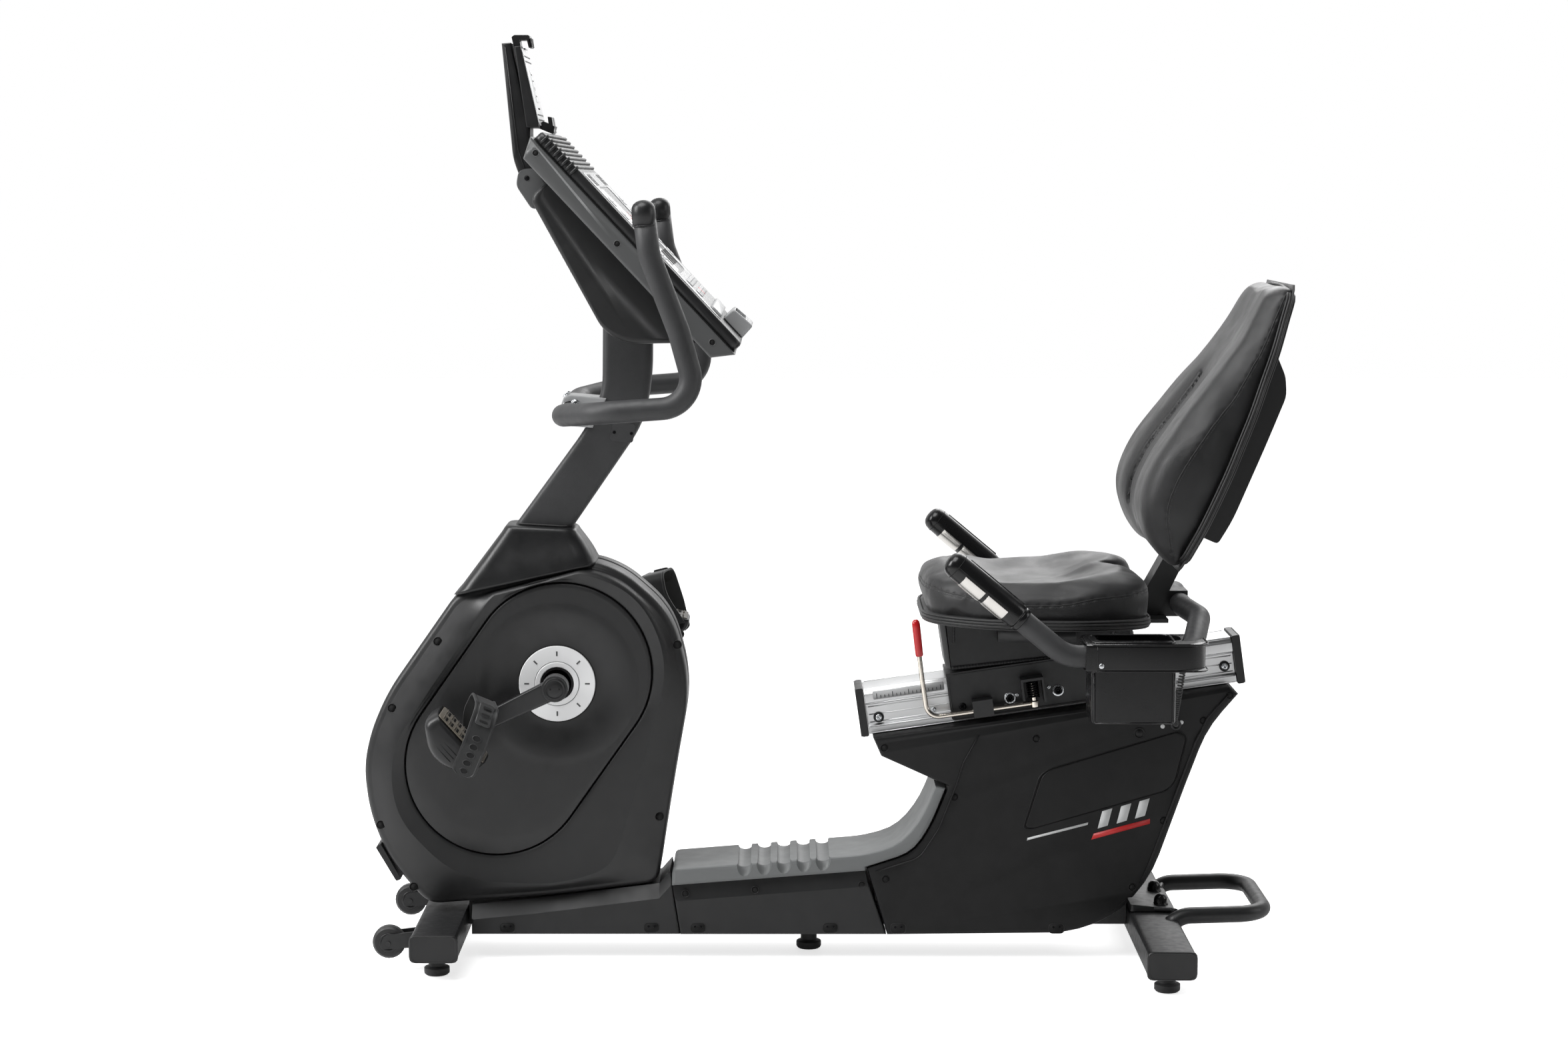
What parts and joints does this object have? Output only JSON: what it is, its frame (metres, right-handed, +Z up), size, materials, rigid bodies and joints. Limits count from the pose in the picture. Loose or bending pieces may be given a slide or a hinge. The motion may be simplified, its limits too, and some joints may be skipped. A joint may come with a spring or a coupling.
{
  "type": "recumbent exercise bike",
  "caption": "Recumbent exercise bike with sliding bucket seat on an inclined rail, pedal crank under a round shroud, tilting tablet holder and curved handlebars.",
  "frame": {"origin": "centre of the bounding box in plan, on the floor", "axes": "+X to the rear (seat end), +Y to the rider's right, +Z up"},
  "size_m": [1.4552, 0.652, 1.4595],
  "materials": {
    "frame_steel": "satin black powder coat",
    "mast_powder": "fine textured dark grey powder coat",
    "rubber_black": "matt black rubber",
    "tyre_black": "matt black moulded",
    "shroud_plastic": "fine spark-eroded grain, charcoal",
    "panel_plastic": "fine grain, near black",
    "satin_black_plastic": "satin black",
    "trim_grey": "satin mid grey",
    "silver_grey": "satin silver grey",
    "rail_aluminium": "satin anodised",
    "machined_steel": "turned",
    "nickel": "bright nickel plate",
    "red_vinyl": "gloss dipped vinyl",
    "vinyl_black": "fine grained upholstery vinyl, stitched",
    "screen_glass": "glossy dark window",
    "crank_black": "satin black",
    "belt_rubber": "ribbed rubber"
  },
  "bodies": {
    "frame": {"main_frame": "frame_steel", "front_stabiliser": "frame_steel", "rear_stabiliser": "frame_steel", "front_cap_left": "satin_black_plastic", "front_cap_right": "satin_black_plastic", "rear_cap_left": "satin_black_plastic", "rear_cap_right": "satin_black_plastic", "front_foot_left": "rubber_black", "front_foot_right": "rubber_black", "lift_handle": "frame_steel", "mast": "mast_powder", "neck_collar": "satin_black_plastic", "shroud_left": "shroud_plastic", "shroud_right": "shroud_plastic", "crank_cover_left": "panel_plastic", "crank_cover_right": "panel_plastic", "base_cover": "panel_plastic", "step_cover": "panel_plastic", "trim_strip": "trim_grey", "rear_shroud_left": "shroud_plastic", "rear_shroud_right": "shroud_plastic", "seat_rail": "rail_aluminium", "rail_cap_front": "satin_black_plastic", "rail_cap_rear": "satin_black_plastic", "console_back": "shroud_plastic", "console_shell": "trim_grey", "console_bezel": "satin_black_plastic", "console_screen": "screen_glass", "console_ledge": "silver_grey", "handlebar": "mast_powder", "handlebar_clamp": "silver_grey", "drive_belt": "belt_rubber", "seat_cord": "rubber_black"},
    "crank": {"crank": "crank_black", "crank_pulley": "machined_steel"},
    "pedal_left": {"pedal_left": "shroud_plastic", "strap_left": "rubber_black"},
    "pedal_right": {"pedal_right": "shroud_plastic", "strap_right": "rubber_black"},
    "flywheel": {"flywheel": "machined_steel"},
    "wheel_left": {"wheel_left": "tyre_black"},
    "wheel_right": {"wheel_right": "tyre_black"},
    "seat": {"seat_carriage": "frame_steel", "riser_cover": "trim_grey", "seat_cushion": "vinyl_black", "back_cushion": "vinyl_black", "back_shell": "satin_black_plastic", "seat_handlebar": "mast_powder", "grip_left": "satin_black_plastic", "grip_right": "satin_black_plastic", "cup_holder_left": "satin_black_plastic", "cup_holder_right": "satin_black_plastic"},
    "lever": {"slide_lever": "nickel", "lever_grip": "red_vinyl"},
    "plunger": {"lock_plunger": "nickel"},
    "tablet_holder": {"tablet_holder": "satin_black_plastic"},
    "tablet_hook": {"tablet_hook": "satin_black_plastic"},
    "rear_foot_left": {"rear_foot_left": "rubber_black"},
    "rear_foot_right": {"rear_foot_right": "rubber_black"},
    "centre_foot": {"centre_foot": "rubber_black"}
  },
  "joints": [
    {"name": "crank_spin", "type": "hinge", "parent": "frame", "child": "crank", "pos_m": [-0.4196, 0, 0.443], "axis": [0, 1, 0], "continuous": true},
    {"name": "pedal_left_spin", "type": "hinge", "parent": "crank", "child": "pedal_left", "pos_m": [-0.5679, -0.165, 0.37067], "axis": [0, 1, 0], "continuous": true},
    {"name": "pedal_right_spin", "type": "hinge", "parent": "crank", "child": "pedal_right", "pos_m": [-0.2713, 0.165, 0.51533], "axis": [0, 1, 0], "continuous": true},
    {"name": "flywheel_spin", "type": "hinge", "parent": "frame", "child": "flywheel", "pos_m": [-0.5176, 0, 0.312], "axis": [0, 1, 0], "continuous": true},
    {"name": "wheel_left_spin", "type": "hinge", "parent": "frame", "child": "wheel_left", "pos_m": [-0.6806, -0.14, 0.046], "axis": [0, 1, 0], "continuous": true},
    {"name": "wheel_right_spin", "type": "hinge", "parent": "frame", "child": "wheel_right", "pos_m": [-0.6806, 0.14, 0.046], "axis": [0, 1, 0], "continuous": true},
    {"name": "seat_slide", "type": "slide", "parent": "frame", "child": "seat", "axis": [0.9898, 0, 0.1426], "range_m": [-0.1, 0.17]},
    {"name": "lever_turn", "type": "hinge", "parent": "seat", "child": "lever", "pos_m": [0.25114, -0.066, 0.4005], "axis": [0.9898, 0, 0.1426], "range_deg": [0, 30], "stiffness_Nm_per_rad": 0.6, "springref_deg": -11.46},
    {"name": "plunger_slide", "type": "slide", "parent": "seat", "child": "plunger", "axis": [0.1426, 0, -0.9898], "range_m": [0, 0.0081]},
    {"name": "tablet_tilt", "type": "hinge", "parent": "frame", "child": "tablet_holder", "pos_m": [-0.4606, 0, 1.238], "axis": [0, 1, 0], "range_deg": [-30, 0]},
    {"name": "hook_slide", "type": "slide", "parent": "tablet_holder", "child": "tablet_hook", "axis": [-0.1322, 0, 0.9912], "range_m": [0, 0.025], "stiffness_N_per_m": 150, "springref_m": -0.01},
    {"name": "rear_foot_left_turn", "type": "hinge", "parent": "frame", "child": "rear_foot_left", "pos_m": [0.5264, -0.264, 0.01], "axis": [0, 0, 1], "continuous": true},
    {"name": "rear_foot_right_turn", "type": "hinge", "parent": "frame", "child": "rear_foot_right", "pos_m": [0.5264, 0.264, 0.01], "axis": [0, 0, 1], "continuous": true},
    {"name": "centre_foot_turn", "type": "hinge", "parent": "frame", "child": "centre_foot", "pos_m": [-0.0206, 0, 0.01], "axis": [0, 0, 1], "continuous": true}
  ],
  "couplings": [
    {"joint": "flywheel_spin", "follows": "crank_spin", "ratio": 4.1193},
    {"joint": "plunger_slide", "follows": "lever_turn", "m_per_rad": 0.0152}
  ]
}
